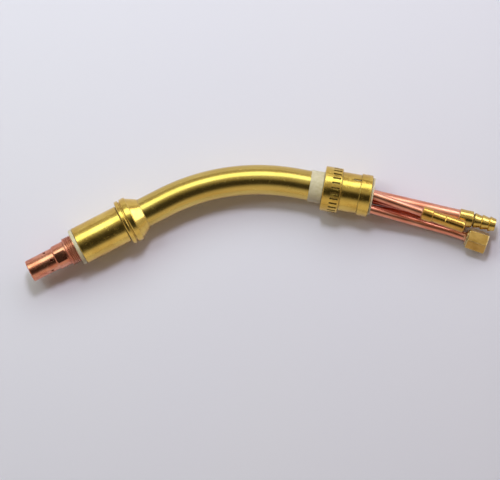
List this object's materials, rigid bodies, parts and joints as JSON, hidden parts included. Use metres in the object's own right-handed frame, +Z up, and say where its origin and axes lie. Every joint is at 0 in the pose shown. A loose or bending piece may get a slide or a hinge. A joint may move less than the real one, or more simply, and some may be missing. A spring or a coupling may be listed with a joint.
{
  "type": "mig torch neck",
  "caption": "Bent brass swan neck of a water-cooled welding torch, with a copper tip holder, an insulated nozzle seat, a slotted collar and copper pipes with fittings.",
  "frame": {"origin": "centre of the collar's clamping band, on its axis", "axes": "+X along the collar's axis towards the fittings; +Z up, away from the floor that the neck lies on; the head bends towards -Y"},
  "size_m": [0.2437, 0.0875, 0.0248],
  "materials": {
    "copper": "turned",
    "copper_pipe": "drawn",
    "turned_brass": "turned and polished",
    "brass_tube": "polished",
    "cream_insulator": "machined",
    "white_insulator": "moulded"
  },
  "bodies": {
    "root": {"tip_holder": "copper", "head_core": "copper", "water_jacket": "copper", "front_insulator": "cream_insulator", "nozzle_barrel": "turned_brass", "neck_adapter": "turned_brass", "neck_tube": "brass_tube", "tube_liner": "white_insulator", "rear_sleeve": "cream_insulator", "clamp_collar": "turned_brass", "pipe_spacer_front": "white_insulator", "pipe_spacer_rear": "white_insulator", "wire_conduit": "copper_pipe", "water_feed_pipe": "copper_pipe", "gas_pipe": "copper_pipe", "power_pipe": "copper_pipe", "conduit_barb": "turned_brass", "feed_nipple": "turned_brass", "gas_nipple": "turned_brass", "power_coupling": "turned_brass"}
  },
  "joints": []
}
